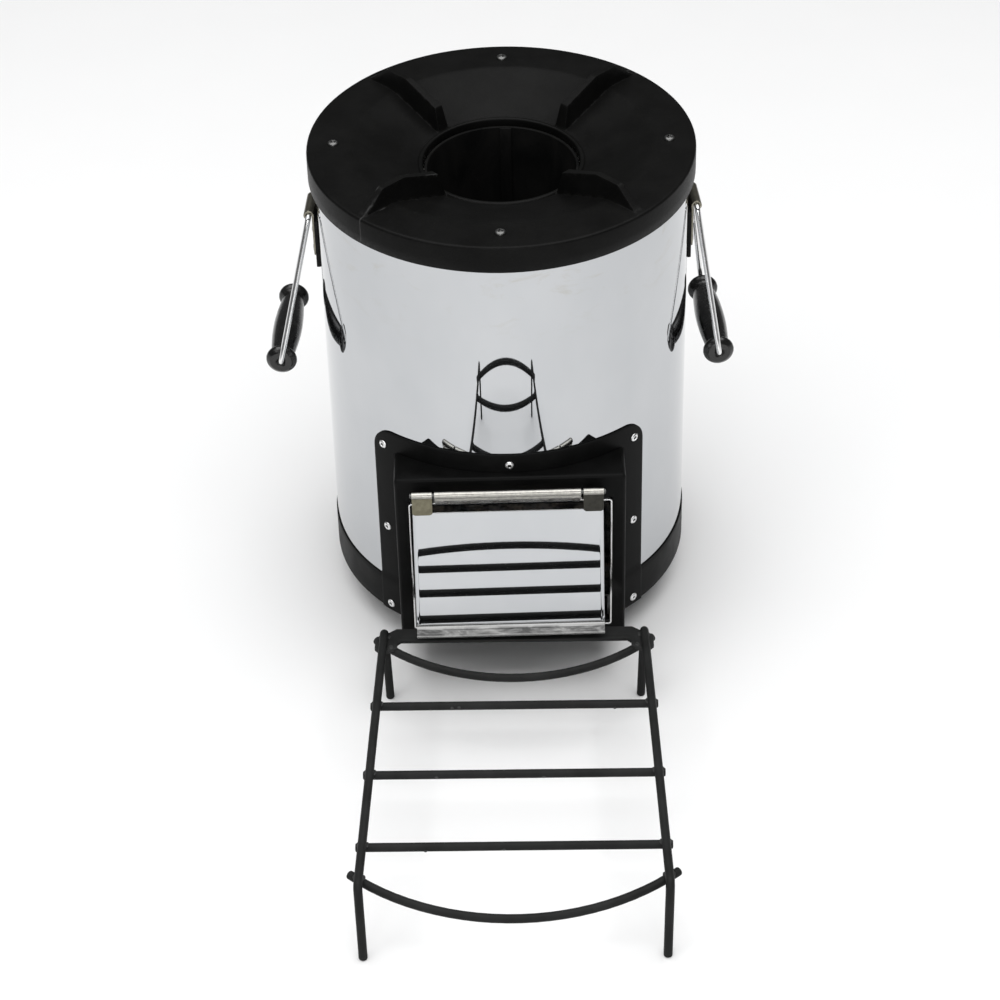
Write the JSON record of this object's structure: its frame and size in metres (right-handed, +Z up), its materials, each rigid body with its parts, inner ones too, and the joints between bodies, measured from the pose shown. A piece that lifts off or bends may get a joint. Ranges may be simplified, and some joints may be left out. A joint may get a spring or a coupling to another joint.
{
  "type": "rocket stove",
  "caption": "Upright round rocket stove with a cast top, a hinged fuel door low in front, folding side handles and a free-standing wire rack for sticks.",
  "frame": {"origin": "centre of the stove's round foot on the ground; the rack stands on the same ground in front", "axes": "+Z up along the chimney, -Y towards the fuel door and the rack, +X to the right seen from in front"},
  "size_m": [0.3362, 0.5755, 0.379],
  "materials": {
    "cast_iron": "matte black as-cast iron",
    "polished_stainless": "mirror-polished stainless sheet",
    "sleeve_stainless": "thin bright stainless sheet",
    "black_coating": "satin black heat-resistant powder coat",
    "black_enamel": "satin black coat",
    "rack_coating": "charcoal satin heat-resistant paint",
    "rivet_aluminium": "bright blind rivet",
    "screw_steel": "plated steel",
    "zinc_steel": "zinc-plated steel",
    "chromed_wire": "chromed wire",
    "grip_plastic": "glossy black moulded grip",
    "inner_steel": "heat-blued mild steel",
    "sooted_steel": "dark sooted steel",
    "ceramic_fibre": "white ceramic-fibre fill"
  },
  "bodies": {
    "stove": {"top_plate": "cast_iron", "lid_screws": "screw_steel", "lid_tabs": "inner_steel", "lid_nuts": "screw_steel", "outer_shell": "polished_stainless", "base_foot": "black_enamel", "base_pan": "black_enamel", "door_frame": "black_coating", "frame_rivets": "rivet_aluminium", "fuel_sleeve": "sleeve_stainless", "firebox": "inner_steel", "riser_tube": "sooted_steel", "riser_gasket": "ceramic_fibre", "upper_insulation": "ceramic_fibre", "lower_insulation": "ceramic_fibre", "base_board": "ceramic_fibre", "hearth_plate": "cast_iron", "fuel_grate": "inner_steel", "grate_left_leg": "inner_steel", "grate_right_leg": "inner_steel", "hinge_leaf": "zinc_steel", "hinge_pin": "screw_steel", "left_handle_bracket": "zinc_steel", "left_handle_pad": "black_coating", "left_handle_rivets": "rivet_aluminium", "right_handle_bracket": "zinc_steel", "right_handle_pad": "black_coating", "right_handle_rivets": "rivet_aluminium"},
    "fuel_door": {"fuel_door": "polished_stainless", "door_left_tab": "zinc_steel", "door_right_tab": "zinc_steel"},
    "left_handle": {"left_handle_bail": "chromed_wire", "left_handle_grip": "grip_plastic"},
    "right_handle": {"right_handle_bail": "chromed_wire", "right_handle_grip": "grip_plastic"},
    "stick_rack": {"rack_near_arc": "rack_coating", "rack_far_arc": "rack_coating", "rack_left_rail": "rack_coating", "rack_right_rail": "rack_coating", "rack_sill": "rack_coating", "rack_crossbar_1": "rack_coating", "rack_crossbar_2": "rack_coating", "rack_crossbar_3": "rack_coating"}
  },
  "joints": [
    {"name": "fuel_door_hinge", "type": "hinge", "parent": "stove", "child": "fuel_door", "pos_m": [-0.0018, -0.1485, 0.172], "axis": [-1, 0, 0], "range_deg": [-12, 152]},
    {"name": "left_handle_swing", "type": "hinge", "parent": "stove", "child": "left_handle", "pos_m": [-0.13567, 0.00949, 0.311], "axis": [0.0698, 0.9976, 0], "range_deg": [-8, 150]},
    {"name": "right_handle_swing", "type": "hinge", "parent": "stove", "child": "right_handle", "pos_m": [0.13567, 0.00949, 0.311], "axis": [0.0698, -0.9976, 0], "range_deg": [-3.4, 155]},
    {"name": "rack_removal", "type": "slide", "parent": "stove", "child": "stick_rack", "axis": [0, -1, 0], "range_m": [0, 0.3]}
  ]
}
